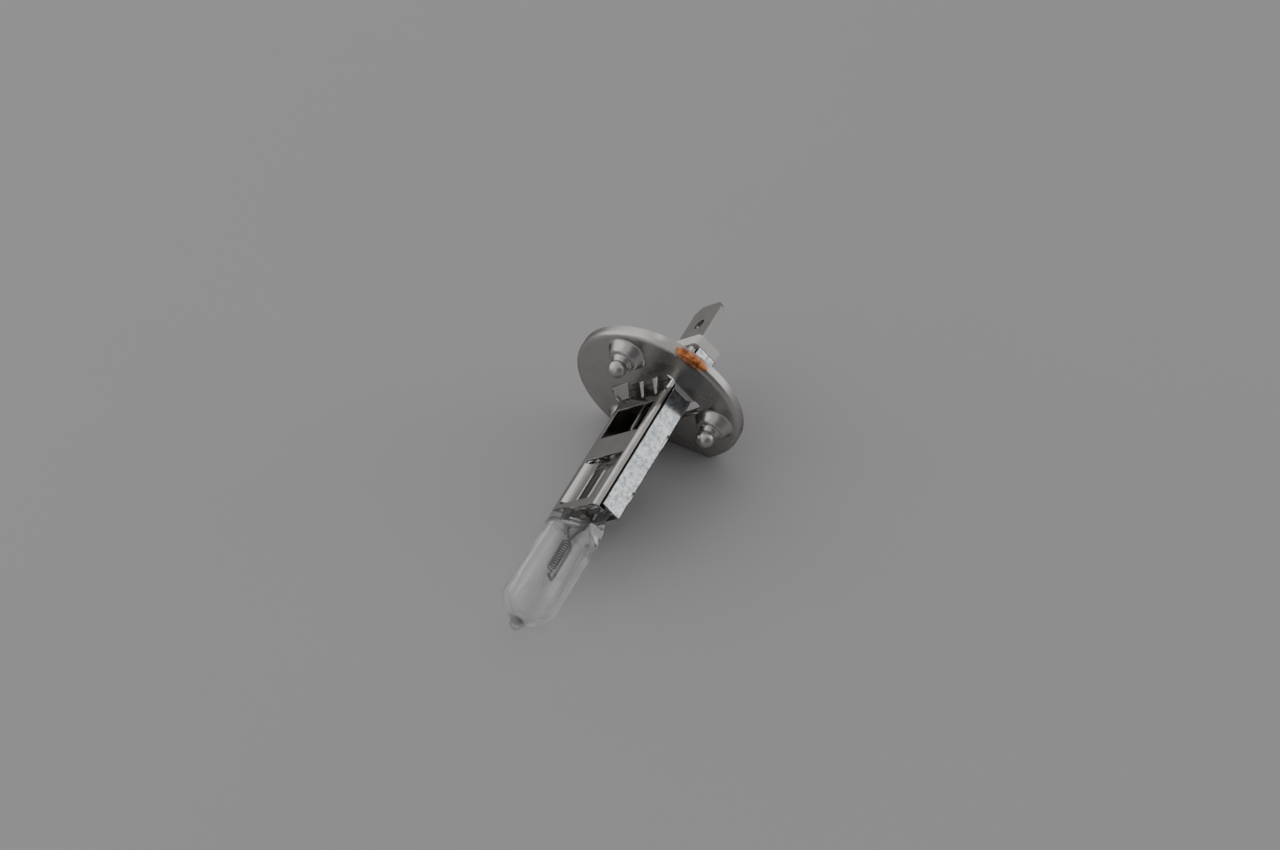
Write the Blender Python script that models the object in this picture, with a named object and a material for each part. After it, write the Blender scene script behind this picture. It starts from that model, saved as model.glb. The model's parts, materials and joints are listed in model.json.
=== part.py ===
"""Single-filament halogen headlight bulb, lying at rest on its flange flat and the side of its nose."""

import math

import bmesh
import bpy
from mathutils import Matrix, Vector

MM = 0.001

# ---- driving sizes, in millimetres. The lamp frame has its z axis along the lamp, towards the
# glass tip, x along the width of the flat sleeve and y out of its broad face. The three boss
# crowns stand CROWN_TOP in front of its origin, and the plane they touch is the lamp's seat.
TUBE_DIAMETER = 8.4
TUBE_WALL = 0.95
TUBE_START = 22.6
TIP_HEIGHT = 40.9
NUB_HEIGHT = 1.3
NUB_RADIUS = 1.25
PINCH_SIDE_ROOM = 0.1
PINCH_THICKNESS = 2.8
PINCH_REAR = 9.9
CAVITY_FLOOR = 21.7

FILAMENT_START = 25.0
FILAMENT_LENGTH = 5.0
COIL_DIAMETER = 1.4
COIL_WIRE = 0.2
COIL_TURNS = 11
COIL_TAIL = 0.45

LEAD_WIRE = 0.5
LEAD_OFFSET = 2.3
LONG_LEAD_RADIUS = 2.0
LONG_LEAD_ANGLE = math.radians(-123)
FOIL_WIDTH = 2.2
FOIL_THICKNESS = 0.06
FOIL_START = 11.6
FOIL_LENGTH = 8.0
CHANNEL_CLEARANCE = 0.05
WELD_GAP = 0.04

SHEET = 0.3
SLEEVE_WIDTH = 13.2
SLEEVE_THICKNESS = 4.5
SLEEVE_REAR = -11.0
SLEEVE_FRONT = 19.9
COVER_OVERHANG = 0.4
WALL_TOP = 1.35
CORNER_RADIUS = 0.45
SHOULDER_RADIUS = 0.85
GROOVE = 0.4
COVER_FLANGE = 0.3
WINDOW_LEFT = -4.3
WINDOW_RIGHT = 4.8
REAR_WINDOW = (0.1, 5.8)
FRONT_WINDOW = (10.1, 18.7)
PRESS_TONGUE_WIDTH = 3.0

DISC_DIAMETER = 27.2
DISC_SHEET = 0.5
DISC_FACE = -3.1
DISC_DISH = 0.4
RIM_RADIUS = 0.8
RIM_REAR = -5.3
FLAT_DISTANCE = 10.6
FLAT_ANGLE = math.radians(-135)
BOSS_CIRCLE = 9.7
BOSS_ANGLES = [FLAT_ANGLE + math.radians(turn) for turn in (87, 207, 327)]
MOUND_RADIUS = 2.15
MOUND_HEIGHT = 1.35
CROWN_TOP = 1.1
CROWN_RADIUS = 1.3
CROWN_FLAT = 0.45
OPENING_SIDE_ROOM = 0.6
OPENING_HALF_HEIGHT = 3.9
OPENING_RADIUS = 0.6
CLAW_GAP = 0.05
CLAW_THICKNESS = 0.35

CERAMIC_FRONT = -6.2
CERAMIC_STEP = -11.1
CERAMIC_REAR = -12.9
CERAMIC_FIT = 0.08
BLADE_WIDTH = 6.3
BLADE_THICKNESS = 0.8
BLADE_END = -22.7
BLADE_STEP = -8.4
BLADE_TAIL_WIDTH = 2.4
BLADE_TAIL_END = -4.6
BLADE_CHAMFER = (1.05, 1.2)
BLADE_HOLE = 1.9
BLADE_HOLE_AT = -18.5
BLADE_CLEARANCE = 0.05

# ---- sizes that follow from the ones above
TUBE_RADIUS = TUBE_DIAMETER / 2
BORE_RADIUS = TUBE_RADIUS - TUBE_WALL
DOME_CENTRE = TIP_HEIGHT - NUB_HEIGHT - TUBE_RADIUS
DISC_RADIUS = DISC_DIAMETER / 2
WALL_OUTER = SLEEVE_WIDTH / 2
WALL_INNER = WALL_OUTER - SHEET
OPENING_HALF_WIDTH = WALL_OUTER + OPENING_SIDE_ROOM
TOP = SLEEVE_THICKNESS / 2
COVER_EDGE = WALL_INNER - GROOVE
PINCH_WIDTH = 2 * (COVER_EDGE - SHEET - PINCH_SIDE_ROOM)
COIL_RADIUS = (COIL_DIAMETER - COIL_WIRE) / 2
FOIL_END = FOIL_START + FOIL_LENGTH
RIM_FRONT = DISC_FACE - DISC_DISH


for old in list(bpy.data.objects):
    bpy.data.objects.remove(old, do_unlink=True)


def new_object(name, data):
    obj = bpy.data.objects.new(name, data)
    bpy.context.scene.collection.objects.link(obj)
    return obj


lamp = new_object("lamp_frame", None)


def material(name, colour, metallic, roughness, transmission=0.0, ior=1.5):
    """A Principled material with one finish."""
    mat = bpy.data.materials.new(name)
    mat.use_nodes = True
    shader = mat.node_tree.nodes["Principled BSDF"]
    shader.inputs["Base Color"].default_value = (*colour, 1.0)
    shader.inputs["Metallic"].default_value = metallic
    shader.inputs["Roughness"].default_value = roughness
    shader.inputs["Transmission Weight"].default_value = transmission
    shader.inputs["IOR"].default_value = ior
    return mat


def finish(obj, mat):
    """Gives a sub-part its material, smooth round faces and its place in the lamp frame."""
    obj.data.materials.append(mat)
    obj.parent = lamp
    if obj.type == "MESH":
        obj.data.shade_smooth()
        obj.data.set_sharp_from_angle(angle=math.radians(32))
    return obj


def mesh_object(name, bm):
    """Turns a bmesh drawn in millimetres into an object in metres, with its faces outward."""
    bmesh.ops.remove_doubles(bm, verts=bm.verts, dist=0.0005)
    bmesh.ops.recalc_face_normals(bm, faces=bm.faces)
    bmesh.ops.scale(bm, vec=(MM, MM, MM), verts=bm.verts)
    mesh = bpy.data.meshes.new(name)
    bm.to_mesh(mesh)
    bm.free()
    return new_object(name, mesh)


def prism(name, outline, low, high):
    """A closed outline in x and y, extruded along z from low to high."""
    bm = bmesh.new()
    verts = [bm.verts.new((x, y, low)) for x, y in outline]
    face = bm.faces.new(verts)
    pushed = bmesh.ops.extrude_face_region(bm, geom=[face])
    top = [item for item in pushed["geom"] if isinstance(item, bmesh.types.BMVert)]
    bmesh.ops.translate(bm, vec=(0, 0, high - low), verts=top)
    return mesh_object(name, bm)


def box(name, x, y, z):
    """A box between two values along each axis."""
    return prism(name, [(x[0], y[0]), (x[1], y[0]), (x[1], y[1]), (x[0], y[1])], *z)


def turned(name, profile, steps, centre=(0.0, 0.0)):
    """A profile of (radius, z) points, from the axis back to the axis, turned about z."""
    bm = bmesh.new()
    verts = [bm.verts.new((radius, 0, z)) for radius, z in profile]
    edges = [bm.edges.new(pair) for pair in zip(verts, verts[1:])]
    bmesh.ops.spin(
        bm,
        geom=verts + edges,
        axis=(0, 0, 1),
        cent=(0, 0, 0),
        angle=math.tau,
        steps=steps,
        use_merge=True,
    )
    bmesh.ops.translate(bm, vec=(*centre, 0), verts=bm.verts)
    return mesh_object(name, bm)


def lofted(name, rings):
    """A solid through rings of equal length, closed by a flat face at each end."""
    bm = bmesh.new()
    rows = [[bm.verts.new(point) for point in ring] for ring in rings]
    count = len(rows[0])
    for lower, upper in zip(rows, rows[1:]):
        for i in range(count):
            j = (i + 1) % count
            bm.faces.new((lower[i], lower[j], upper[j], upper[i]))
    bm.faces.new(reversed(rows[0]))
    bm.faces.new(rows[-1])
    return mesh_object(name, bm)


def wire(name, points, diameter, sides=1):
    """A round wire along a path, as a curve with filled ends."""
    curve = bpy.data.curves.new(name, "CURVE")
    curve.dimensions = "3D"
    curve.bevel_depth = diameter / 2 * MM
    curve.bevel_resolution = sides
    curve.use_fill_caps = True
    spline = curve.splines.new("POLY")
    spline.points.add(len(points) - 1)
    for slot, point in zip(spline.points, points):
        slot.co = (*(Vector(point) * MM), 1.0)
    spline.use_smooth = True
    return new_object(name, curve)


def rounded_path(corners, radius, steps=4):
    """A path through the corners with each bend rounded."""
    corners = [Vector(corner) for corner in corners]
    path = [corners[0]]
    for before, corner, after in zip(corners, corners[1:], corners[2:]):
        into = (before - corner).normalized() * radius
        out = (after - corner).normalized() * radius
        for step in range(steps + 1):
            t = step / steps
            path.append((corner + into) * (1 - t) ** 2 + corner * 2 * t * (1 - t) + (corner + out) * t**2)
    path.append(corners[-1])
    return path


def combine(obj, tool, operation):
    """Cuts a hidden tool from a sub-part, or joins it on."""
    tool.hide_render = True
    tool.display_type = "WIRE"
    tool.parent = lamp
    modifier = obj.modifiers.new(f"{operation}_{tool.name}", "BOOLEAN")
    modifier.operation = operation
    modifier.solver = "EXACT"
    modifier.object = tool


def arc(centre, radius, start, end, steps):
    """Points on an arc, angles in degrees."""
    angles = [math.radians(start + (end - start) * step / steps) for step in range(steps + 1)]
    return [(centre[0] + radius * math.cos(a), centre[1] + radius * math.sin(a)) for a in angles]


def oval(z, half_width, half_depth, squareness, count=40):
    """One ring at height z, round at squareness 2 and nearly rectangular at 6."""
    ring = []
    for i in range(count):
        angle = math.tau * i / count
        c, s = math.cos(angle), math.sin(angle)
        x = half_width * math.copysign(abs(c) ** (2 / squareness), c)
        y = half_depth * math.copysign(abs(s) ** (2 / squareness), s)
        ring.append((x, y, z))
    return ring


# ---- quartz envelope: flat pinch, round tube, domed nose and the small nub where it was sealed
def dome_rings(radius, first, last, steps):
    """Rings of a sphere of this radius round the dome centre, angles from the tube in degrees."""
    angles = [math.radians(first + (last - first) * step / steps) for step in range(steps + 1)]
    return [
        oval(DOME_CENTRE + radius * math.sin(a), radius * math.cos(a), radius * math.cos(a), 2)
        for a in angles
    ]


HALF_PINCH = PINCH_WIDTH / 2
HALF_PRESS = PINCH_THICKNESS / 2
outer = [
    oval(PINCH_REAR, HALF_PINCH - 0.2, HALF_PRESS - 0.2, 6),
    oval(PINCH_REAR + 0.2, HALF_PINCH, HALF_PRESS, 6),
    oval(TUBE_START - 2.8, HALF_PINCH, HALF_PRESS, 6),
    oval(TUBE_START - 2.1, HALF_PINCH - 0.3, HALF_PRESS + 0.4, 4.5),
    oval(TUBE_START - 1.5, TUBE_RADIUS + 0.4, TUBE_RADIUS - 1.1, 2.8),
    oval(TUBE_START - 0.8, TUBE_RADIUS + 0.05, TUBE_RADIUS - 0.25, 2.15),
    oval(TUBE_START, TUBE_RADIUS, TUBE_RADIUS, 2),
]
nub_angle = math.degrees(math.acos(NUB_RADIUS / TUBE_RADIUS))
outer += dome_rings(TUBE_RADIUS, 0, nub_angle, 7)
nub_base = DOME_CENTRE + TUBE_RADIUS * math.sin(math.radians(nub_angle))
nub_rise = TIP_HEIGHT - nub_base
for share, width in ((0.25, 0.78), (0.6, 0.62), (0.85, 0.42), (1.0, 0.16)):
    outer.append(oval(nub_base + nub_rise * share, NUB_RADIUS * width, NUB_RADIUS * width, 2))
envelope = lofted("quartz_envelope", outer)

cavity = [
    oval(CAVITY_FLOOR, 2.9, 0.5, 2.6),
    oval(CAVITY_FLOOR + 0.5, 3.0, 1.3, 2.3),
    oval(CAVITY_FLOOR + 1.3, BORE_RADIUS - 0.1, BORE_RADIUS - 0.6, 2.1),
    oval(CAVITY_FLOOR + 2.2, BORE_RADIUS, BORE_RADIUS, 2),
]
cavity += dome_rings(BORE_RADIUS, 0, 84, 8)
combine(envelope, lofted("cut_cavity", cavity), "DIFFERENCE")
for side, label in ((1, "live"), (-1, "ground")):
    x = side * LEAD_OFFSET
    bore = LEAD_WIRE / 2 + CHANNEL_CLEARANCE
    slot = FOIL_WIDTH / 2 + CHANNEL_CLEARANCE
    half = FOIL_THICKNESS / 2 + CHANNEL_CLEARANCE
    front_bore = turned(
        f"cut_front_bore_{label}",
        [(0, FOIL_END - 0.3), (bore, FOIL_END - 0.3), (bore, CAVITY_FLOOR + 0.4), (0, CAVITY_FLOOR + 0.4)],
        12,
        (x, 0),
    )
    rear_bore = turned(
        f"cut_rear_bore_{label}",
        [(0, PINCH_REAR - 0.5), (bore, PINCH_REAR - 0.5), (bore, FOIL_START + 0.3), (0, FOIL_START + 0.3)],
        12,
        (x, 0),
    )
    foil_slot = box(
        f"cut_foil_slot_{label}",
        (x - slot, x + slot),
        (-half, half),
        (FOIL_START - CHANNEL_CLEARANCE, FOIL_END + CHANNEL_CLEARANCE),
    )
    for tool in (front_bore, rear_bore, foil_slot):
        combine(envelope, tool, "DIFFERENCE")
finish(envelope, material("quartz_glass", (0.95, 0.96, 0.96), 0.0, 0.02, 1.0, 1.46))

# ---- filament and the wires inside the envelope
turns = COIL_TURNS + (LONG_LEAD_ANGLE % math.tau) / math.tau
points = [(COIL_RADIUS, 0, FILAMENT_START - COIL_TAIL)]
steps = round(turns * 16)
coil_low = FILAMENT_START + COIL_WIRE / 2
coil_rise = FILAMENT_LENGTH - COIL_WIRE
for step in range(steps + 1):
    angle = math.tau * turns * step / steps
    height = coil_low + coil_rise * step / steps
    points.append((COIL_RADIUS * math.cos(angle), COIL_RADIUS * math.sin(angle), height))
tail_top = FILAMENT_START + FILAMENT_LENGTH + COIL_TAIL
points.append((*points[-1][:2], tail_top))
filament = wire("filament", points, COIL_WIRE)
finish(filament, material("tungsten", (0.09, 0.088, 0.085), 0.7, 0.55))

molybdenum = material("molybdenum_wire", (0.42, 0.40, 0.38), 1.0, 0.3)
short_path = [
    (LEAD_OFFSET, 0, FOIL_END + WELD_GAP),
    (LEAD_OFFSET, 0, CAVITY_FLOOR + 1.0),
    (COIL_RADIUS, 0, CAVITY_FLOOR + 2.2),
    (COIL_RADIUS, 0, FILAMENT_START - COIL_TAIL - WELD_GAP),
]
short_lead = wire("inner_lead_short", rounded_path(short_path, 0.4), LEAD_WIRE, 2)
finish(short_lead, molybdenum)

towards = Vector((math.cos(LONG_LEAD_ANGLE), math.sin(LONG_LEAD_ANGLE), 0))
crossing = tail_top + WELD_GAP + LEAD_WIRE / 2
long_path = [
    (-LEAD_OFFSET, 0, FOIL_END + WELD_GAP),
    (-LEAD_OFFSET, 0, CAVITY_FLOOR + 0.6),
    (*(towards * LONG_LEAD_RADIUS)[:2], CAVITY_FLOOR + 3.0),
    (*(towards * LONG_LEAD_RADIUS)[:2], crossing),
    (*(towards * (COIL_RADIUS - 0.3))[:2], crossing),
]
long_lead = wire("inner_lead_long", rounded_path(long_path, 0.5), LEAD_WIRE, 2)
finish(long_lead, molybdenum)

# ---- the two sealing foils in the pinch, and the two wires that leave it
foil_metal = material("molybdenum_foil", (0.50, 0.47, 0.44), 1.0, 0.35)
for side, label in ((1, "live"), (-1, "ground")):
    x = side * LEAD_OFFSET
    foil = box(
        f"foil_{label}",
        (x - FOIL_WIDTH / 2, x + FOIL_WIDTH / 2),
        (-FOIL_THICKNESS / 2, FOIL_THICKNESS / 2),
        (FOIL_START, FOIL_END),
    )
    finish(foil, foil_metal)

outer_metal = material("nickel_lead", (0.60, 0.58, 0.54), 1.0, 0.35)
half_blade = BLADE_THICKNESS / 2
on_tail = half_blade + WELD_GAP + LEAD_WIRE / 2
live_path = [
    (LEAD_OFFSET, 0, FOIL_START - WELD_GAP),
    (LEAD_OFFSET, 0, PINCH_REAR - 3.0),
    (0, on_tail, PINCH_REAR - 6.5),
    (0, on_tail, BLADE_TAIL_END - 1.5),
]
live_lead = wire("outer_lead_live", rounded_path(live_path, 0.8), LEAD_WIRE, 2)
finish(live_lead, outer_metal)
beside_wall = WALL_INNER - WELD_GAP - LEAD_WIRE / 2
ground_path = [
    (-LEAD_OFFSET, 0, FOIL_START - WELD_GAP),
    (-LEAD_OFFSET, 0, PINCH_REAR - 1.2),
    (-beside_wall, 0, PINCH_REAR - 2.6),
    (-beside_wall, 0, PINCH_REAR - 6.0),
]
ground_lead = wire("outer_lead_ground", rounded_path(ground_path, 0.5), LEAD_WIRE, 2)
finish(ground_lead, outer_metal)

# ---- sleeve: an open channel with a cover pressed between its walls
plated = material("plated_steel_sleeve", (0.62, 0.61, 0.60), 1.0, 0.22)


def whole(right_half):
    """A closed outline from its right half."""
    return right_half + [(-x, y) for x, y in reversed(right_half)]


def channel_half(grow):
    """The right half of the channel's section, its outside pulled in by grow."""
    r = CORNER_RADIUS - grow
    centre = (WALL_OUTER - CORNER_RADIUS, -TOP + CORNER_RADIUS)
    return arc(centre, r, -90, 0, 5)


inner_run = list(reversed(channel_half(SHEET)))
right_side = channel_half(0) + [(WALL_OUTER, WALL_TOP), (WALL_INNER, WALL_TOP)] + inner_run
channel = prism("sleeve_channel", whole(right_side), SLEEVE_REAR, SLEEVE_FRONT)

shoulder = (COVER_EDGE - SHOULDER_RADIUS, TOP - SHOULDER_RADIUS)
outside = list(reversed(arc(shoulder, SHOULDER_RADIUS, 0, 90, 6)))
inside = arc(shoulder, SHOULDER_RADIUS - SHEET, 0, 90, 6)
cover_right = outside + [(COVER_EDGE, COVER_FLANGE), (COVER_EDGE - SHEET, COVER_FLANGE)] + inside
cover = prism("sleeve_cover", whole(cover_right), SLEEVE_REAR + 0.1, SLEEVE_FRONT + COVER_OVERHANG)

for number, (low, high) in enumerate((REAR_WINDOW, FRONT_WINDOW)):
    for shell, name, y in ((cover, "cover", TOP), (channel, "channel", -TOP)):
        tool = box(
            f"cut_{name}_window_{number}",
            (WINDOW_LEFT, WINDOW_RIGHT),
            (y - 0.6, y + 0.6),
            (low, high),
        )
        combine(shell, tool, "DIFFERENCE")

# Each front window keeps a tongue on its left edge, pushed in until it grips the pinch.
reach = HALF_PRESS + CLAW_GAP
for shell, name, way in ((cover, "cover", 1), (channel, "channel", -1)):
    left = WINDOW_LEFT
    top_face = TOP * way
    low_face = reach * way
    thickness = SHEET * 0.8 * way
    outline = [
        (left - 0.25, top_face - 0.02 * way),
        (left - 0.25, top_face - 0.28 * way),
        (left + 0.9, low_face),
        (left + PRESS_TONGUE_WIDTH, low_face),
        (left + PRESS_TONGUE_WIDTH, low_face + thickness),
        (left + 1.0, low_face + thickness),
        (left + 0.05, top_face - 0.02 * way),
    ]
    low, high = FRONT_WINDOW
    tongue = prism(f"join_{name}_tongue", outline, low + 0.5, high - 0.5)
    combine(shell, tongue, "UNION")

# The lower corners of the channel walls are relieved in two places on each side.
for number, (low, high) in enumerate(((3.9, 6.3), (15.0, 16.8))):
    for side in (1, -1):
        edge = side * WALL_OUTER
        tool = box(
            f"cut_relief_{number}_{side + 1}",
            (edge - 0.5, edge + 0.5),
            (-TOP - 0.5, -TOP + CORNER_RADIUS + 0.15),
            (low, high),
        )
        combine(channel, tool, "DIFFERENCE")
finish(channel, plated)
finish(cover, plated)


# ---- base disc: dished plate with a turned-back rim, a flat, three bosses and claws at its opening
def flat_ring(inset, z, count=120):
    """A ring at height z: the disc's outline, pulled in by an inset."""
    ring = []
    for i in range(count):
        angle = math.tau * i / count
        radius = DISC_RADIUS - inset
        towards_flat = math.cos(angle - FLAT_ANGLE)
        if towards_flat > 0:
            radius = min(radius, (FLAT_DISTANCE - inset) / towards_flat)
        ring.append((radius * math.cos(angle), radius * math.sin(angle), z))
    return ring


def plate_height(radius):
    """The front face of the dished plate at a distance from the axis."""
    return DISC_FACE - DISC_DISH * (radius / (DISC_RADIUS - RIM_RADIUS)) ** 2


def shell_rings(depth):
    """Rings from the rear of the rim over its bend and into the plate, this deep in the sheet."""
    bend = RIM_RADIUS - depth
    centre = RIM_FRONT - RIM_RADIUS
    rings = [flat_ring(depth, RIM_REAR)]
    for step in range(5):
        a = math.radians(90 * step / 4)
        rings.append(flat_ring(RIM_RADIUS - bend * math.cos(a), centre + bend * math.sin(a)))
    for radius in (11.0, 8.8):
        rings.append(flat_ring(DISC_RADIUS - radius, plate_height(radius) - depth))
    return rings


# The solid part of the plate is a stack of rings; its opening is cut afterwards.
disc = lofted("base_disc", shell_rings(0))
hollow = [flat_ring(DISC_SHEET, RIM_REAR - 0.5)] + shell_rings(DISC_SHEET)[1:]
combine(disc, lofted("cut_disc_back", hollow), "DIFFERENCE")

crown_rise = -plate_height(BOSS_CIRCLE)


def boss_profile(shrink, foot):
    """The side of a boss, from its foot to its crown, pulled in by the sheet it is pressed from."""
    base = -crown_rise
    mound = base + MOUND_HEIGHT
    side = [
        (MOUND_RADIUS - shrink, base - foot),
        (MOUND_RADIUS - shrink * 0.9, base + 0.1 - shrink),
        (MOUND_RADIUS * 0.85 - shrink * 0.9, base + MOUND_HEIGHT * 0.62 - shrink),
        (MOUND_RADIUS * 0.66 - shrink * 0.8, mound - 0.12 - shrink),
        (CROWN_RADIUS + 0.25 - shrink * 0.8, mound - shrink),
        (CROWN_RADIUS - shrink * 0.8, mound + 0.25 - shrink),
        (CROWN_RADIUS - shrink * 0.8, CROWN_TOP - 1.1 - shrink),
        (CROWN_RADIUS * 0.92 - shrink * 0.8, CROWN_TOP - 0.62 - shrink),
        (CROWN_RADIUS * 0.7 - shrink * 0.7, CROWN_TOP - 0.2 - shrink),
        (CROWN_FLAT - shrink * 0.4, CROWN_TOP - shrink),
    ]
    return [(0, base - foot)] + side + [(0, CROWN_TOP - shrink)]


for number, angle in enumerate(BOSS_ANGLES):
    spot = (BOSS_CIRCLE * math.cos(angle), BOSS_CIRCLE * math.sin(angle))
    combine(disc, turned(f"join_boss_{number}", boss_profile(0, 0.25), 28, spot), "UNION")
for number, angle in enumerate(BOSS_ANGLES):
    spot = (BOSS_CIRCLE * math.cos(angle), BOSS_CIRCLE * math.sin(angle))
    combine(disc, turned(f"cut_boss_{number}", boss_profile(0.4, 1.2), 28, spot), "DIFFERENCE")

corner = (OPENING_HALF_WIDTH - OPENING_RADIUS, OPENING_HALF_HEIGHT - OPENING_RADIUS)
quarter = arc(corner, OPENING_RADIUS, 0, 90, 4)
half_opening = whole(quarter)
opening = half_opening + [(-x, -y) for x, y in half_opening]
combine(disc, prism("cut_opening", opening, DISC_FACE - 2.0, DISC_FACE + 1.0), "DIFFERENCE")


def claw(name, root, tip, root_half, tip_half, centre, turn):
    """A tapered tongue from the edge of the opening, bent forward until it meets the sleeve."""
    low = DISC_FACE - CLAW_THICKNESS - 0.05
    rise = 1.3
    rings = []
    for y, z, half in (
        (root + 0.5, low, root_half),
        (root - 0.2, low, root_half),
        (tip, low + rise, tip_half),
    ):
        lean = CLAW_THICKNESS
        rings.append(
            [
                (centre - half, y, z),
                (centre + half, y, z),
                (centre + half, y, z + lean),
                (centre - half, y, z + lean),
            ]
        )
    tongue = lofted(name, rings)
    tongue.data.transform(Matrix.Rotation(turn, 4, "Z"))
    return tongue


claw_tip = TOP + CLAW_GAP
side_tip = WALL_OUTER + CLAW_GAP
for number, (turn, centre) in enumerate(((0, -3.85), (0, 3.85), (math.pi, -3.85), (math.pi, 3.85))):
    tool = claw(f"join_claw_{number}", OPENING_HALF_HEIGHT, claw_tip, 1.9, 1.4, centre, turn)
    combine(disc, tool, "UNION")
for number, turn in enumerate((math.pi / 2, -math.pi / 2)):
    tool = claw(f"join_side_claw_{number}", OPENING_HALF_WIDTH, side_tip, 1.6, 1.2, -0.6, turn)
    combine(disc, tool, "UNION")
finish(disc, material("plated_steel_disc", (0.60, 0.59, 0.57), 1.0, 0.2))


# ---- ceramic insulator in the rear of the sleeve, with the terminal blade through it
def rounded_box(name, half_width, half_height, radius, low, high):
    corner_at = (half_width - radius, half_height - radius)
    bend = arc(corner_at, radius, 0, 90, 4)
    top_half = whole(bend)
    return prism(name, top_half + [(-x, -y) for x, y in top_half], low, high)


ceramic = rounded_box(
    "ceramic_insulator",
    COVER_EDGE - SHEET - CERAMIC_FIT,
    TOP - SHEET - CERAMIC_FIT,
    SHOULDER_RADIUS - SHEET,
    CERAMIC_STEP - 0.5,
    CERAMIC_FRONT,
)
head = rounded_box("join_ceramic_head", WALL_OUTER, TOP + 0.15, 0.7, CERAMIC_REAR, CERAMIC_STEP)
combine(ceramic, head, "UNION")
slot_x = BLADE_WIDTH / 2 + BLADE_CLEARANCE
slot_y = half_blade + BLADE_CLEARANCE
blade_slot = box(
    "cut_blade_slot",
    (-slot_x, slot_x),
    (-slot_y, slot_y),
    (CERAMIC_REAR - 1, BLADE_STEP + BLADE_CLEARANCE),
)
combine(ceramic, blade_slot, "DIFFERENCE")
tail_x = BLADE_TAIL_WIDTH / 2 + BLADE_CLEARANCE
tail_slot = box(
    "cut_tail_slot",
    (-tail_x, tail_x),
    (-slot_y, slot_y),
    (BLADE_STEP - 1, CERAMIC_FRONT + 1),
)
combine(ceramic, tail_slot, "DIFFERENCE")
finish(ceramic, material("steatite_ceramic", (0.80, 0.79, 0.75), 0.0, 0.4))

cut_x, cut_z = BLADE_CHAMFER
half_tab = BLADE_WIDTH / 2
half_tail = BLADE_TAIL_WIDTH / 2
blade_right = [
    (half_tab - cut_x, BLADE_END),
    (half_tab, BLADE_END + cut_z),
    (half_tab, BLADE_STEP),
    (half_tail, BLADE_STEP),
    (half_tail, BLADE_TAIL_END),
]
blade = prism("contact_blade", [(x, -z) for x, z in whole(blade_right)], -half_blade, half_blade)
blade.data.transform(Matrix.Rotation(math.radians(-90), 4, "X"))
hole_radius = BLADE_HOLE / 2
hole = turned("cut_blade_hole", [(0, -1), (hole_radius, -1), (hole_radius, 1), (0, 1)], 24)
hole.data.transform(Matrix.Translation((0, 0, BLADE_HOLE_AT * MM)) @ Matrix.Rotation(math.pi / 2, 4, "X"))
combine(blade, hole, "DIFFERENCE")
finish(blade, material("tinned_blade", (0.50, 0.49, 0.46), 1.0, 0.3))

# ---- lay the lamp down: the bend of the flange flat and the side of the nose both touch z = 0
down = Vector((math.cos(FLAT_ANGLE), math.sin(FLAT_ANGLE), 0))
along = FLAT_DISTANCE - RIM_RADIUS
back = RIM_FRONT - RIM_RADIUS - DOME_CENTRE
fall = TUBE_RADIUS - RIM_RADIUS
tilt = math.atan2(back, along) + math.acos(fall / math.hypot(along, back))
up = -down * math.cos(tilt) - Vector((0, 0, 1)) * math.sin(tilt)
tail_way = -(Vector((0, 0, 1)) - up * up.z).normalized()
right = tail_way.cross(up)
lamp.matrix_world = Matrix((right, tail_way, up)).to_4x4()
bpy.context.view_layer.update()

# The origin is under the middle of the whole lamp's box, on the surface it rests on.
graph = bpy.context.evaluated_depsgraph_get()
lows, highs = [], []
for obj in bpy.data.objects:
    if obj.parent is lamp and not obj.hide_render:
        shape = obj.evaluated_get(graph)
        mesh = shape.to_mesh()
        world = [shape.matrix_world @ vert.co for vert in mesh.vertices]
        lows.append([min(point[axis] for point in world) for axis in range(3)])
        highs.append([max(point[axis] for point in world) for axis in range(3)])
        shape.to_mesh_clear()
low = [min(values[axis] for values in lows) for axis in range(3)]
high = [max(values[axis] for values in highs) for axis in range(3)]
shift = Vector((-(low[0] + high[0]) / 2, -(low[1] + high[1]) / 2, -low[2]))
lamp.matrix_world = Matrix.Translation(shift) @ lamp.matrix_world
bpy.context.view_layer.update()
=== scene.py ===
# %% [markdown]
# # A halogen headlight bulb
# The bulb lies on a pale table, resting on the flat of its flange and on the side of its nose.
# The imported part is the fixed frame. Every piece below is placed from it, either as a finer
# version of one of its nodes or as a new finish on the node itself.

# %% Load the frame
import json
import math

import bmesh
import bpy
from mathutils import Matrix, Quaternion, Vector


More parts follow.
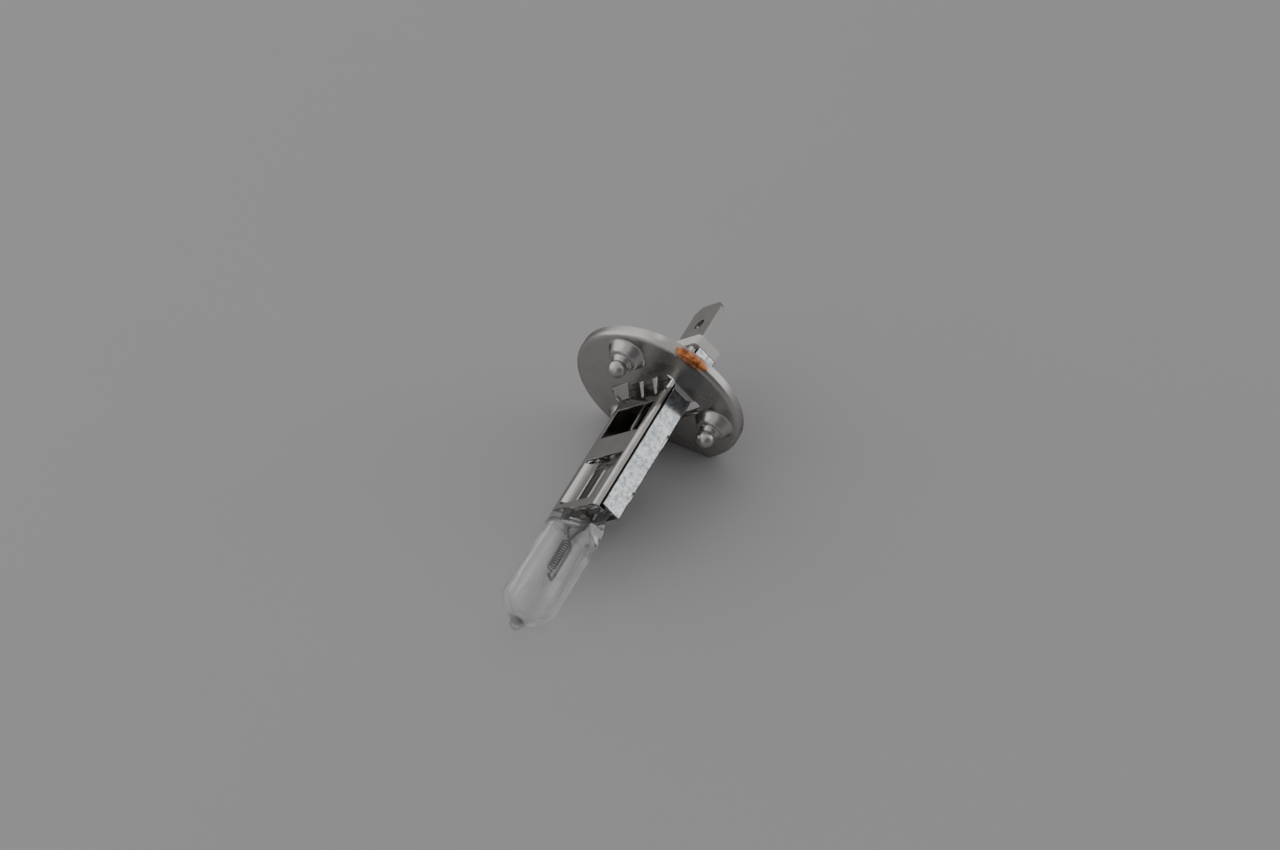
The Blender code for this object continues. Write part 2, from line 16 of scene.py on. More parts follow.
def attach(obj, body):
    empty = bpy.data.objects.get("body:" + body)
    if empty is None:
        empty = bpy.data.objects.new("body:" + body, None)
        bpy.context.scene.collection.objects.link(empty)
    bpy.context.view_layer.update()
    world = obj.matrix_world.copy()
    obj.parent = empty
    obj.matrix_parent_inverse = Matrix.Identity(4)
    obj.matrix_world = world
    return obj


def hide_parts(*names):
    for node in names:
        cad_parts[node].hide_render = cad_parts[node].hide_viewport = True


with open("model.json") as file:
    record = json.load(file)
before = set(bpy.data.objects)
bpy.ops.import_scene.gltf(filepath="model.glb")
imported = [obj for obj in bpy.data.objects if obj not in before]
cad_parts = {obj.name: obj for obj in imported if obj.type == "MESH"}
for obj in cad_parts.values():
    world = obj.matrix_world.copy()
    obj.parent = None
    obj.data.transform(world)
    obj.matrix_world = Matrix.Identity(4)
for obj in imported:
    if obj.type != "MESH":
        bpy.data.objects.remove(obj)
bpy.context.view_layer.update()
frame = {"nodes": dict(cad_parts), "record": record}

# %% [markdown]
# ## The lamp's own axes
# The crowns of the three bosses and the terminal are mounts of the part, so they give the lamp's
# axes: z runs to the glass nose, y out of the broad face of the sleeve and x across it. The
# origin lies a little behind the plane that the crowns touch. Pieces are drawn in
# millimetres on these axes and then laid down with one matrix.

# %% Find the lamp's axes
mounts = {mount["name"]: mount for mount in frame["record"]["mounts"]}
seats = [Vector(mounts[f"boss_seat_{number}"]["pos_m"]) for number in (1, 2, 3)]
forward = Vector(mounts["boss_seat_1"]["axis"]).normalized()
out = Vector(mounts["terminal_face_upper"]["axis"])
side = out.cross(forward).normalized()
out = forward.cross(side)
turn = Matrix((side, out, forward)).transposed()
CROWN_TOP = 1.1
origin = sum(seats, Vector()) / len(seats) - forward * CROWN_TOP * 0.001
LAMP = Matrix.Translation(origin) @ turn.to_4x4() @ Matrix.Scale(0.001, 4)
print("lamp origin at", [round(1000 * value, 2) for value in origin], "mm")

# %% [markdown]
# ## Shader maths
# A finish is easier to read as an expression than as a list of nodes. This small class wraps a
# socket, so that adding or multiplying two of them adds the Math node that does it.


# %% A socket that can be added and multiplied
class Value:
    def __init__(self, tree, socket):
        self.tree = tree
        self.socket = socket

    def math(self, operation, other=0.0, swap=False):
        first, second = (other, self) if swap else (self, other)
        return self.tree.node("ShaderNodeMath", {"operation": operation}, {0: first, 1: second})

    def __add__(self, other):
        return self.math("ADD", other)

    __radd__ = __add__

    def __mul__(self, other):
        return self.math("MULTIPLY", other)

    __rmul__ = __mul__

    def __sub__(self, other):
        return self.math("SUBTRACT", other)

    def __rsub__(self, other):
        return self.math("SUBTRACT", other, swap=True)

    def clamp(self):
        return self.tree.node("ShaderNodeClamp", {}, {0: self})

    def above(self, low, high):
        """0 below the first value and 1 above the second, straight between them."""
        return ((self - low) * (1 / (high - low))).clamp()


# %% [markdown]
# A graph is a tree of nodes with one shader. Every node but the shader comes from its `node`
# method, which takes the node's type, its settings and the values or links of its sockets.


# %% A graph of nodes
class Graph:
    def __init__(self, tree, shader):
        self.nodes = tree.nodes
        self.links = tree.links
        self.shader = self.nodes[shader]

    def put(self, socket, value):
        if isinstance(value, Value):
            self.links.new(value.socket, socket)
        else:
            socket.default_value = value

    def node(self, kind, settings, inputs, output=0):
        made = self.nodes.new(kind)
        for key, value in settings.items():
            setattr(made, key, value)
        for key, value in inputs.items():
            self.put(made.inputs[key], value)
        return Value(self, made.outputs[output])

    def set(self, **inputs):
        for key, value in inputs.items():
            self.put(self.shader.inputs[key.replace("_", " ")], value)
        return self

    def blend(self, factor, first, second):
        """A colour that runs from the first to the second as the factor rises."""
        colours = [item if isinstance(item, Value) else (*item, 1) for item in (first, second)]
        inputs = {"Factor": factor, 6: colours[0], 7: colours[1]}
        return self.node("ShaderNodeMix", {"data_type": "RGBA"}, inputs, 2)


# %% [markdown]
# A finish is the graph of a material with one Principled shader. Its patterns are drawn in
# millimetres on the lamp's axes, which a Mapping node works out from the object's own coordinates.


# %% A finish and its patterns
class Finish(Graph):
    def __init__(self, name):
        self.material = bpy.data.materials.new(name)
        self.material.use_nodes = True
        super().__init__(self.material.node_tree, "Principled BSDF")

    def on_lamp(self, stretch=(1, 1, 1)):
        """Coordinates in millimetres on the lamp's axes, squeezed along each."""
        back = turn.transposed()
        found = self.node("ShaderNodeTexCoord", {}, {}, "Object")
        straight = {
            "Location": -1000 * (back @ origin),
            "Rotation": back.to_euler(),
            "Scale": (1000, 1000, 1000),
        }
        on_axes = self.node("ShaderNodeMapping", {}, {0: found, **straight})
        return self.node("ShaderNodeMapping", {}, {0: on_axes, "Scale": stretch})

    def noise(self, scale, detail=3.0, stretch=(1, 1, 1), roughness=0.5):
        where = self.on_lamp(stretch)
        inputs = {"Vector": where, "Scale": scale, "Detail": detail, "Roughness": roughness}
        return self.node("ShaderNodeTexNoise", {}, inputs)

    def along(self, axis):
        """The distance in millimetres along one of the lamp's axes: 0, 1 or 2."""
        return self.node("ShaderNodeSeparateXYZ", {}, {0: self.on_lamp()}, axis)

    def distance_from(self, spot):
        """The distance in millimetres from a spot on the lamp's axes."""
        inputs = {0: self.on_lamp(), 1: spot}
        return self.node("ShaderNodeVectorMath", {"operation": "DISTANCE"}, inputs, 1)

    def bump(self, height, depth):
        """A bump of this depth in millimetres, at the height's full range."""
        inputs = {"Height": height, "Distance": depth * 0.001, "Strength": 1.0}
        return self.node("ShaderNodeBump", {}, inputs)


# %% [markdown]
# ## Metals
# The sleeve and the flange are pressed from bright plated strip. Rolling leaves very fine lines
# along the strip, which spread a reflection a little across them, and handling leaves cloudy
# patches that are slightly duller.


# %% Plated sheet, dull terminal and the wires
def plated(name, light, dark, gloss, stretch, lines):
    """Metal between two colours. gloss is its least roughness and how far that rises."""
    finish = Finish(name)
    cloud = finish.noise(0.35, 4)
    line = finish.noise(2.2, 2, stretch)
    shade = (cloud * 0.7 + line * 0.3).clamp()
    return finish.set(
        Base_Color=finish.blend(shade, dark, light),
        Metallic=1.0,
        Roughness=cloud * gloss[1] + gloss[0],
        Normal=finish.bump(line, lines),
    )


def colour_of(finish):
    """The colour that the finish has so far, to be mixed with another."""
    return Value(finish, finish.shader.inputs["Base Color"].links[0].from_socket)


ROLLED, SHORT_ROLLED, DRAWN, EVEN = (3, 3, 0.12), (2.5, 2.5, 0.2), (3, 3, 0.2), (1, 1, 1)

sleeve_metal = plated("plated_sleeve", (0.60, 0.59, 0.57), (0.46, 0.45, 0.43), (0.08, 0.14), ROLLED, 0.006)
disc_metal = plated("plated_disc", (0.60, 0.58, 0.55), (0.44, 0.43, 0.41), (0.17, 0.22), EVEN, 0.010)
blade_metal = plated(
    "tinned_blade", (0.36, 0.35, 0.33), (0.26, 0.25, 0.235), (0.26, 0.20), SHORT_ROLLED, 0.010
)
wire_metal = plated("lead_wire", (0.40, 0.38, 0.36), (0.28, 0.27, 0.26), (0.25, 0.15), DRAWN, 0.004)
inner_wire = plated("inner_wire", (0.13, 0.125, 0.12), (0.08, 0.08, 0.08), (0.45, 0.15), DRAWN, 0.004)

# %% [markdown]
# The side walls of the sleeve have a coarse crystalline plating, pale with small darker flecks. A
# painted reflection of an orange object in the room colours a short length of the flange's rim brown
# and orange, inside an oval around two spots. At a glancing angle bare metal turns into a mirror, and
# the edge shade keeps that down.

# %% Flecked side walls and the painted reflection on the rim
SIDE_WALL, WALL_FADE = 6.35, 0.1
DARK_FLECK, PALE_FLECK = (0.30, 0.32, 0.33), (0.66, 0.68, 0.68)
# Where the painted reflection of an orange object lies on the rim, and its brown and orange colours.
RIM_REFLECTION_AT = ((11.7, 6.75, -4.25), (13.4, 1.9, -4.25))
REFLECTION_INSIDE, REFLECTION_OUTSIDE, REFLECTION_RAGGED = 5.5, 6.0, 0.5
REFLECTED_BROWN, REFLECTED_ORANGE = (0.30, 0.11, 0.04), (0.80, 0.30, 0.11)
EDGE_SHADE = (0.45, 0.45, 0.45, 1)

fleck = sleeve_metal.noise(1.3, 7, roughness=0.7).above(0.40, 0.58)
on_wall = sleeve_metal.along(0).math("ABSOLUTE").above(SIDE_WALL, SIDE_WALL + WALL_FADE)
wall_colour = sleeve_metal.blend(fleck, DARK_FLECK, PALE_FLECK)
sleeve_metal.set(Base_Color=sleeve_metal.blend(on_wall, colour_of(sleeve_metal), wall_colour))

# Painted reflection: an oval of brown and orange streaks on the rim stands in for an orange object that the
# rim mirrors.
first, second = RIM_REFLECTION_AT
near_reflection = disc_metal.distance_from(first) + disc_metal.distance_from(second)
streak = disc_metal.noise(1.1, 4)
plain = (near_reflection + streak * REFLECTION_RAGGED).above(REFLECTION_INSIDE, REFLECTION_OUTSIDE)
painted_reflection_colour = disc_metal.blend(streak.above(0.4, 0.6), REFLECTED_BROWN, REFLECTED_ORANGE)
disc_metal.set(Base_Color=disc_metal.blend(plain, painted_reflection_colour, colour_of(disc_metal)))

for metal in (sleeve_metal, disc_metal):
    metal.set(Specular_Tint=EDGE_SHADE)

# %% [markdown]
# The filament is a dull dark coil.

# %% Tungsten
tungsten = Finish("tungsten_coil")
soot = tungsten.noise(1.5, 3)
tungsten.set(
    Base_Color=tungsten.blend(soot, (0.05, 0.05, 0.05), (0.12, 0.115, 0.11)),
    Metallic=0.7,
    Roughness=soot * 0.2 + 0.45,
)
print("metal finishes", [item.material.name for item in (sleeve_metal, disc_metal, blade_metal, tungsten)])

# %% [markdown]
# ## Ceramic and quartz
# Steatite is pale and matt, with a fine grain. Quartz is clear: the shader bends what is behind
# it, but light from the lamps is let straight through, or the tube would throw a black shadow.
# A share of every other ray goes straight through too, more of it in the solid nose, where light
# would otherwise be caught and look black.

# %% Ceramic and quartz
LET_THROUGH, LET_THROUGH_NOSE = 0.2, 0.3
NOSE_FROM, NOSE_TO = 39.0, 39.8

ceramic = Finish("steatite")
grain = ceramic.noise(3.0, 5)
ceramic.set(
    Base_Color=ceramic.blend(grain, (0.70, 0.69, 0.65), (0.82, 0.81, 0.77)),
    Roughness=grain * 0.15 + 0.5,
    Normal=ceramic.bump(grain, 0.02),
)

quartz = Finish("clear_quartz")
draw = quartz.noise(0.8, 2, (1, 1, 0.15))
quartz.set(
    Base_Color=quartz.blend(draw, (0.97, 0.98, 0.98), (1, 1, 1)),
    Roughness=draw * 0.01,
    IOR=1.46,
    Transmission_Weight=1.0,
    Normal=quartz.bump(draw, 0.01),
)
clear = quartz.node("ShaderNodeBsdfTransparent", {}, {})
lamp_ray = quartz.node("ShaderNodeLightPath", {}, {}, "Is Shadow Ray")
glass = Value(quartz, quartz.shader.outputs[0])
nose = quartz.along(2).above(NOSE_FROM, NOSE_TO) * LET_THROUGH_NOSE
straight_through = (lamp_ray + LET_THROUGH + nose).clamp()
through = quartz.node("ShaderNodeMixShader", {}, {0: straight_through, 1: glass, 2: clear})
quartz.put(quartz.nodes["Material Output"].inputs["Surface"], through)


# %% [markdown]
# ## Placing a piece
# A piece is drawn in lamp millimetres. It is laid down in its own mesh, so its object stays at
# the origin, rides on the one body that the bulb has, and stands for the node it refines.


# %% Place a piece in the frame
def dress(obj, finish):
    obj.data.materials.clear()
    obj.data.materials.append(finish.material)
    return obj


def place(name, bm, finish, node, crease=35):
    mesh = bpy.data.meshes.new(name)
    bm.to_mesh(mesh)
    bm.free()
    mesh.shade_smooth()
    mesh.set_sharp_from_angle(angle=math.radians(crease))
    obj = bpy.data.objects.new(name, mesh)
    bpy.context.scene.collection.objects.link(obj)
    weighted = obj.modifiers.new("even_flats", "WEIGHTED_NORMAL")
    weighted.keep_sharp = True
    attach(dress(obj, finish), "root")
    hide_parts(node)
    print(name, len(mesh.polygons), "faces")
    return obj


# %% [markdown]
# ## Quartz envelope
# A real envelope starts as a round tube. It is spun here the same way, with its nose, and then
# its rear is squeezed flat between two jaws, which makes the pinch that seals the foils. The
# hollow is a second skin inside it, with its faces turned towards the gas.

# %% Spin a skin about the lamp's axis
TUBE_RADIUS, BORE_RADIUS, DOME_CENTRE, TIP = 4.2, 3.25, 35.4, 40.9
PINCH_REAR, PINCH_FRONT, TUBE_START = 9.9, 20.2, 22.0
PINCH_HALF_WIDTH, PINCH_HALF_DEPTH = 5.5, 1.4
SAME_POINT = 0.0005


def spun(profile, steps=96):
    """The skin that a profile of (radius, height) pairs sweeps out."""
    bm = bmesh.new()
    verts = [bm.verts.new((radius, 0, z)) for radius, z in profile]
    edges = [bm.edges.new(pair) for pair in zip(verts, verts[1:])]
    bmesh.ops.spin(
        bm, geom=verts + edges, axis=(0, 0, 1), cent=(0, 0, 0), angle=math.tau, steps=steps,
        use_merge=True,
    )
    bmesh.ops.remove_doubles(bm, verts=bm.verts, dist=SAME_POINT)
    bmesh.ops.recalc_face_normals(bm, faces=bm.faces)
    return bm


def dome(radius, last, steps=14):
    """A profile round the nose, from its widest ring to this many degrees above it."""
    turns = [math.radians(last * step / steps) for step in range(steps + 1)]
    return [(radius * math.cos(a), DOME_CENTRE + radius * math.sin(a)) for a in turns]


def smooth(low, high, value):
    """0 up to the low value, 1 from the high one, with a soft start and end between."""
    share = min(max((value - low) / (high - low), 0.0), 1.0)
    return share * share * (3 - 2 * share)


# %% [markdown]
# The outer skin has rings all along it, so that squeezing its rear leaves the rest round. The jaws
# turn each ring of the pinch into a rounded oblong. The hollow ends in a flattened wedge.

# %% Squeeze the pinch and seal the nose
SQUARENESS = 0.34
WEDGE_REAR, WEDGE_FRONT, WEDGE_DEPTH = 21.7, 23.9, 0.18

levels = [PINCH_REAR, PINCH_REAR + 0.15, PINCH_FRONT - 0.4]
levels += [PINCH_FRONT + (TUBE_START - PINCH_FRONT) * step / 14 for step in range(15)]
levels += [TUBE_START + 0.08, TUBE_START + 0.4, 24, 28, 32, DOME_CENTRE - 0.3]
profile = [(0, PINCH_REAR)] + [(TUBE_RADIUS, z) for z in levels] + dome(TUBE_RADIUS, 62)
nub = [(1.65, 39.24), (1.4, 39.4), (1.22, 39.62), (1.12, 39.9), (1.02, 40.2)]
nub += [(0.84, 40.5), (0.55, 40.75), (0.28, 40.87), (0.0, TIP)]
envelope = spun(profile + nub)
for vert in envelope.verts:
    flat = 1 - smooth(PINCH_FRONT, TUBE_START, vert.co.z)
    across, deep = vert.co.x / TUBE_RADIUS, vert.co.y / TUBE_RADIUS
    if flat > 0:
        square_x = math.copysign(abs(across) ** SQUARENESS, across) * PINCH_HALF_WIDTH
        square_y = math.copysign(abs(deep) ** SQUARENESS, deep) * PINCH_HALF_DEPTH
        square = Vector((square_x, square_y, vert.co.z))
        vert.co = vert.co.lerp(square, flat)

bore = [(0, 21.75), (2.2, 21.8), (2.9, 22.2), (3.15, 22.9)]
bore += [(BORE_RADIUS, z) for z in (WEDGE_FRONT, 24.1, 28, 35)]
hollow = spun(bore + dome(BORE_RADIUS, 84) + [(0, DOME_CENTRE + BORE_RADIUS)])
for vert in hollow.verts:
    vert.co.y *= WEDGE_DEPTH + (1 - WEDGE_DEPTH) * smooth(WEDGE_REAR, WEDGE_FRONT, vert.co.z)
bmesh.ops.reverse_faces(hollow, faces=hollow.faces)
inner = bpy.data.meshes.new("hollow")
hollow.to_mesh(inner)
hollow.free()
envelope.from_mesh(inner)
bpy.data.meshes.remove(inner)
bmesh.ops.transform(envelope, matrix=LAMP, verts=envelope.verts)
place("quartz_tube", envelope, quartz, "quartz_envelope", 60)

# %% [markdown]
# ## Pressed and moulded pieces
# The sheet, the terminal and the ceramic already have the right shape in the frame, but with
# knife edges. A real edge is broken by the press or the mould and catches a line of light, so a
# copy of each is merged and its sharp edges are bevelled.


# %% Break the edges of a node
def broken(name, node, finish, width, segments=2):
    """A copy of the node with bevels of this width in millimetres on its sharp edges."""
    bm = bmesh.new()
    bm.from_mesh(frame["nodes"][node].data)
    bmesh.ops.remove_doubles(bm, verts=bm.verts, dist=1e-6)
    bmesh.ops.dissolve_limit(bm, angle_limit=math.radians(0.5), verts=bm.verts, edges=bm.edges)
    sharp = [e for e in bm.edges if len(e.link_faces) == 2 and e.calc_face_angle(0) > math.radians(50)]
    bmesh.ops.bevel(
        bm, geom=sharp, offset=width * 0.001, offset_type="OFFSET", affect="EDGES", segments=segments,
        profile=0.5, material=-1, clamp_overlap=True,
    )
    return place(name, bm, finish, node)


broken("sleeve_body", "sleeve_channel", sleeve_metal, 0.06)
broken("sleeve_lid", "sleeve_cover", sleeve_metal, 0.06)
broken("insulator_block", "ceramic_insulator", ceramic, 0.18, 3)
broken("terminal", "contact_blade", blade_metal, 0.08)

# %% [markdown]
# ## Flange
# The flange is one pressing: a shallow dish with its rim turned back, a flat on one side so that
# it fits its holder one way only, an opening for the sleeve, and three bosses that set where the
# filament sits. A ring of sheet is spun, and then pressed the way the tool does it: its inner edge
# is pushed out to the opening, its rim is pushed in at the flat, and the bosses are raised. The
# front and the rear skin are made the same way and joined, so the bosses are hollow from behind.

# %% Spin the sheet
DISC_RADIUS, RIM_RADIUS, RIM_REAR, SHEET = 13.6, 0.8, -5.3, 0.5
DISH_TOP, DISH_DROP, PLATE_RADIUS = -3.1, 0.4, 12.8
FLAT_DISTANCE, FLAT_ANGLE = 10.6, math.radians(-135)
BOSS_CIRCLE, BOSS_TURNS = 9.7, (87, 207, 327)
OPENING_WIDTH, OPENING_HEIGHT = 7.2, 3.9
MOUND, NECK, BALL_RADIUS = 1.6, 1.1, 1.4
MOUND_TOP, MOUND_FOOT, NECK_TOP, NECK_FOOT = 1.9, 3.1, 1.0, 1.65
SQUARE_CORNER = 12
RINGS, STEPS, BEND_STEPS = 72, 320, 8

rim_centre = DISH_TOP - DISH_DROP - RIM_RADIUS


# %% [markdown]
# These say how high the plate, its opening's edge and a mound lie, before the rim is bent.


# %% Heights over the plate
def dish(radius):
    """The height of the plate this far out."""
    return DISH_TOP - DISH_DROP * (radius / PLATE_RADIUS) ** 2


def opening_edge(direction):
    """How far out the rounded rectangle of the opening lies in this direction."""
    across, up = abs(direction.x) / OPENING_WIDTH, abs(direction.y) / OPENING_HEIGHT
    return (across**SQUARE_CORNER + up**SQUARE_CORNER) ** (-1 / SQUARE_CORNER)


def mound_height(distance, wall):
    """A broad soft mound with a neck on it, both pulled in by the wall on the rear skin."""
    mound = 1 - smooth(MOUND_TOP - wall, MOUND_FOOT - wall, distance)
    neck = 1 - smooth(NECK_TOP - wall, NECK_FOOT - wall, distance)
    return MOUND * mound + NECK * neck


bosses = []
for turn_degrees in BOSS_TURNS:
    angle = FLAT_ANGLE + math.radians(turn_degrees)
    bosses.append(Vector((math.cos(angle), math.sin(angle))) * BOSS_CIRCLE)
chord = Vector((math.cos(FLAT_ANGLE), math.sin(FLAT_ANGLE)))
print("bosses at", [[round(value, 1) for value in boss] for boss in bosses], "mm")

# %% [markdown]
# A skin is made in three strokes: the plate with its mounds, the rim bent back round its edge, and
# the flat pushed in.

# %% Shape one skin of the sheet
WALL_SHARE, NEAR_FLAT = 0.6, 1.5


def skin(depth):
    """The front skin at depth 0, or the rear skin at the depth of the sheet."""
    bm = spun([(1 + ring / RINGS, 0) for ring in range(RINGS + 1)], STEPS)
    edge = [e for e in bm.edges if e.is_boundary and e.verts[0].co.to_2d().length > 1.5]
    for vert in bm.verts:
        direction = vert.co.to_2d().normalized()
        inner_edge = opening_edge(direction)
        spot = direction * (inner_edge + (PLATE_RADIUS - inner_edge) * (vert.co.to_2d().length - 1))
        near = min((spot - boss).length for boss in bosses)
        raised = mound_height(near, WALL_SHARE * depth)
        vert.co = (*spot, dish(spot.length) + raised - depth)
    for step in range(1, BEND_STEPS + 2):
        pushed = bmesh.ops.extrude_edge_only(bm, edges=edge)["geom"]
        edge = [item for item in pushed if isinstance(item, bmesh.types.BMEdge)]
        bend = math.radians(90 * min(step, BEND_STEPS) / BEND_STEPS)
        for vert in [item for item in pushed if isinstance(item, bmesh.types.BMVert)]:
            reach = PLATE_RADIUS + (RIM_RADIUS - depth) * math.sin(bend)
            height = rim_centre + (RIM_RADIUS - depth) * math.cos(bend)
            last = step > BEND_STEPS
            vert.co = (*(vert.co.to_2d().normalized() * reach), RIM_REAR if last else height)
    for vert in bm.verts:
        reach = vert.co.to_2d().length
        towards = vert.co.to_2d().dot(chord) / reach
        limit = FLAT_DISTANCE - (DISC_RADIUS - reach)
        if reach > FLAT_DISTANCE - NEAR_FLAT and reach * towards > limit:
            vert.co.x *= limit / (reach * towards)
            vert.co.y *= limit / (reach * towards)
    return bm


# %% [markdown]
# The front skin's two edges are drawn out to the rear skin's edges, at the opening and at the rim.
# Points are matched by direction, because both skins were spun in the same steps. A closed sheet
# has no open edge.

# %% Join the two skins into sheet
flange = skin(0)
rear = skin(SHEET)
rear_edge = [vert.co.copy() for vert in rear.verts if vert.is_boundary]


def at_opening(spot):
    """Whether the point is on the edge of the opening and not on the rim."""
    return spot.to_2d().length < (OPENING_WIDTH + FLAT_DISTANCE) / 2


def behind(spot):
    """The point of the rear skin's edge in the same direction, at the opening or at the rim."""
    same = [point for point in rear_edge if at_opening(point) == at_opening(spot)]
    direction = spot.to_2d().normalized()
    return min(same, key=lambda point: (point.to_2d().normalized() - direction).length)


pushed = bmesh.ops.extrude_edge_only(flange, edges=[e for e in flange.edges if e.is_boundary])["geom"]
for vert in [item for item in pushed if isinstance(item, bmesh.types.BMVert)]:
    vert.co = behind(vert.co)
mesh = bpy.data.meshes.new("rear_skin")
rear.to_mesh(mesh)
rear.free()
flange.from_mesh(mesh)
bpy.data.meshes.remove(mesh)
bmesh.ops.remove_doubles(flange, verts=flange.verts, dist=SAME_POINT)
bmesh.ops.recalc_face_normals(flange, faces=flange.faces)
heights = [vert.co.z for vert in flange.verts]
reaches = [vert.co.to_2d().length for vert in flange.verts]
open_edges = sum(not (e.is_manifold and e.is_contiguous) for e in flange.edges)
print("flange from", round(min(heights), 2), "to", round(max(heights), 2), "radius", round(max(reaches), 2))
print("open or twisted edges", open_edges, "volume", round(flange.calc_volume(signed=True), 1), "mm3")


# %% [markdown]
# ### Crowns and claws
# A ball stands on each mound and carries the seat. Eight tongues of the same sheet stand up from
# the edge of the opening and grip the sleeve. Each is a small block, tapered towards its tip and
# leant inwards until it meets the sleeve. Distances in a claw are from the lamp's axis, and halves
# are half its width. The cover is sunk below the sleeve's edges, so its claws reach further in.

# %% Add the crowns
for boss in bosses:
    middle = Matrix.Translation((*boss, CROWN_TOP - BALL_RADIUS))
    bmesh.ops.create_uvsphere(flange, u_segments=64, v_segments=32, radius=BALL_RADIUS, matrix=middle)


# %% Raise the claws
CLAW_SHEET, CLAW_BEVEL, CLAW_SUNK = 0.35, 0.06, 0.1
BROAD_CLAW = {"centre": -3.9, "root": 4.4, "root_half": 2.1, "tip_half": 0.8, "rise": 1.0}
THIN_CLAW = {"root": 3.9, "root_half": 0.5, "tip_half": 0.25, "rise": 1.8}
SIDE_CLAW = {"centre": 0.0, "root": OPENING_WIDTH + 0.1, "root_half": 2.3, "tip_half": 1.2, "rise": 0.6}
THIN_CENTRES = (0.9, 4.1)
COVER_TIP, FLOOR_TIP, SIDE_TIP = 2.35, 3.4, 6.68


def claw(angle, centre, root, tip, root_half, tip_half, rise):
    made = bmesh.ops.create_cube(flange, size=1)["verts"]
    for vert in made:
        at_tip = vert.co.y < 0
        half = tip_half if at_tip else root_half
        y = tip if at_tip else root
        lift = rise if at_tip else 0.0
        height = DISH_TOP - CLAW_SUNK + lift + vert.co.z * CLAW_SHEET
        vert.co = (centre + math.copysign(half, vert.co.x), y, height)
    bmesh.ops.rotate(flange, verts=made, cent=(0, 0, 0), matrix=Matrix.Rotation(angle, 3, "Z"))
    edges = list({e for v in made for e in v.link_edges})
    bmesh.ops.bevel(
        flange, geom=edges, offset=CLAW_BEVEL, affect="EDGES", segments=2, profile=0.5, material=-1
    )


for angle, tip in ((0, COVER_TIP), (math.pi, FLOOR_TIP)):
    claw(angle, tip=tip, **BROAD_CLAW)
    for centre in THIN_CENTRES:
        claw(angle, centre, tip=tip, **THIN_CLAW)
for angle in (math.pi / 2, -math.pi / 2):
    claw(angle, tip=SIDE_TIP, **SIDE_CLAW)

# %% [markdown]
# The cover is sunk below the edges of the sleeve, so the opening is wider than the cover needs. A
# lip behind the opening closes that gap.

# %% Close the gap above the cover
LIP_LOW, LIP_HIGH, LIP_HALF_WIDTH, LIP_DEPTH, LIP_SHEET = 2.32, 4.4, 5.6, -4.2, 0.3
lip = Matrix.Translation((0, (LIP_LOW + LIP_HIGH) / 2, LIP_DEPTH))
lip @= Matrix.Diagonal((2 * LIP_HALF_WIDTH, LIP_HIGH - LIP_LOW, LIP_SHEET, 1))
bmesh.ops.create_cube(flange, size=1, matrix=lip)
bmesh.ops.transform(flange, matrix=LAMP, verts=flange.verts)
place("flange", flange, disc_metal, "base_disc", 50)

# %% [markdown]
# ## Pieces that stay
# The filament, leads and foils are fine enough as they are in the frame, and take a finish each.

# %% Finish the nodes that stay
for node, finish, slot in (
    ("filament", tungsten, "tungsten"),
    ("inner_lead_short", inner_wire, "molybdenum_wire"),
    ("inner_lead_long", inner_wire, "molybdenum_wire"),
    ("foil_live", wire_metal, "molybdenum_foil"),
    ("foil_ground", wire_metal, "molybdenum_foil"),
    ("outer_lead_live", wire_metal, "nickel_lead"),
    ("outer_lead_ground", wire_metal, "nickel_lead"),
):
    dress(frame["nodes"][node], finish)

# %% [markdown]
# ## Table and light
# The bulb lies on a plain pale table in an evenly lit room.

# %% Table
floor_mesh = bmesh.new()
bmesh.ops.create_grid(floor_mesh, x_segments=1, y_segments=1, size=4)
mesh = bpy.data.meshes.new("table")
floor_mesh.to_mesh(mesh)
floor_mesh.free()
table = bpy.data.objects.new("table", mesh)
bpy.context.scene.collection.objects.link(table)
paint = Finish("table_paint")
mottle = paint.noise(0.02, 3)
paint.set(Base_Color=paint.blend(mottle, (0.418, 0.411, 0.414), (0.432, 0.425, 0.428)), Roughness=0.55)
table.data.materials.append(paint.material)

# %% [markdown]
# A broad soft box at the left gives the faint shadows. A window at the right shows up in the
# polished side of the sleeve, and a small lamp overhead draws thin lines of light on the rounded
# edges.


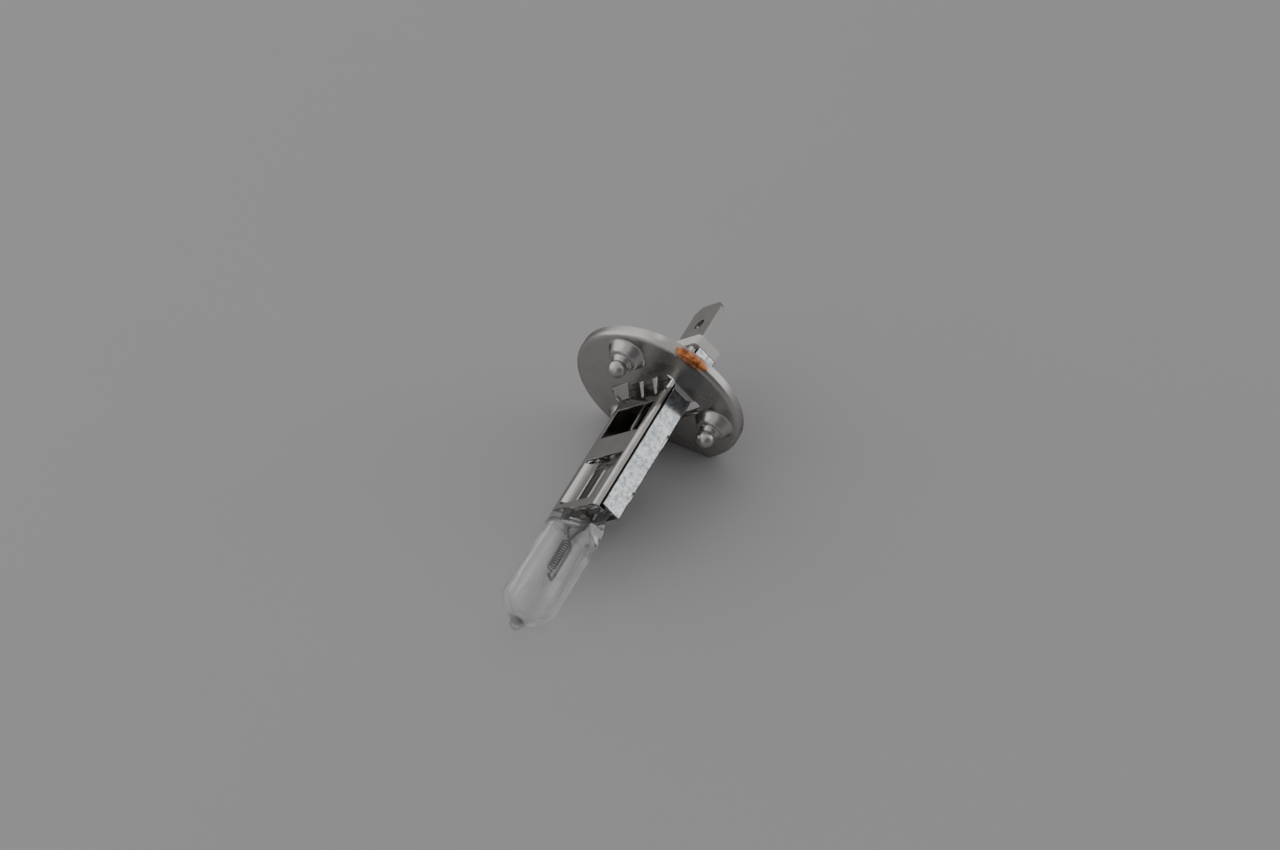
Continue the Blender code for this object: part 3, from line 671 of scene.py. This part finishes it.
# %% Lights
def area_light(name, towards, distance, size, power, colour=(1, 1, 1)):
    """A soft square light in this direction from the lamp, turned to face it."""
    data = bpy.data.lights.new(name, "AREA")
    data.size = size
    data.energy = power
    data.color = colour
    light = bpy.data.objects.new(name, data)
    away = Vector(towards).normalized()
    light.location = away * distance
    light.rotation_euler = away.to_track_quat("Z", "Y").to_euler()
    bpy.context.scene.collection.objects.link(light)


area_light("soft_box", (-0.85, -0.1, 0.5), 0.9, 1.2, 2.6)
area_light("window", (0.82, 0.47, 0.34), 0.9, 0.5, 0.62, (0.95, 0.98, 1.0))
area_light("ceiling_lamp", (-0.25, 0.40, 0.88), 1.2, 0.1, 0.16, (0.85, 0.92, 1.0))

# %% [markdown]
# The room has a darker side in front and to the right. The flange reflects it, and so looks dark
# where the sleeve's side wall mirrors the flange.

# %% Room
DARK_SIDE = Vector((0.81, -0.55, 0.20)).normalized()
DARK_FROM, DARK_TO = 0.60, 0.85
LIGHT_WALL, DARK_WALL = (0.58, 0.57, 0.575), (0.14, 0.145, 0.16)

world = bpy.data.worlds.new("room")
world.use_nodes = True
room = Graph(world.node_tree, "Background")
looking = room.node("ShaderNodeTexCoord", {}, {}, "Generated")
facing = room.node("ShaderNodeVectorMath", {"operation": "DOT_PRODUCT"}, {0: looking, 1: DARK_SIDE}, "Value")
room.set(Color=room.blend(facing.above(DARK_FROM, DARK_TO), LIGHT_WALL, DARK_WALL))
bpy.context.scene.world = world

# %% [markdown]
# ## Camera
# The camera looks down at the bulb from in front and to the right, through a short telephoto.

# %% Camera
AIM, DISTANCE = Vector((0.00188, 0.00312, 0.01393)), 0.38594
AZIMUTH, ELEVATION, ROLL = math.radians(25.27), math.radians(46.23), math.radians(2.62)
back = Vector((
    math.sin(AZIMUTH) * math.cos(ELEVATION), -math.cos(AZIMUTH) * math.cos(ELEVATION), math.sin(ELEVATION)
))
camera_data = bpy.data.cameras.new("camera")
camera_data.lens = 74.6
camera_data.sensor_width = 36
camera_data.clip_start = 0.01
camera = bpy.data.objects.new("camera", camera_data)
camera.location = AIM + back * DISTANCE
camera.rotation_mode = "QUATERNION"
camera.rotation_quaternion = back.to_track_quat("Z", "Y") @ Quaternion((0, 0, 1), ROLL)
bpy.context.scene.collection.objects.link(camera)
bpy.context.scene.camera = camera
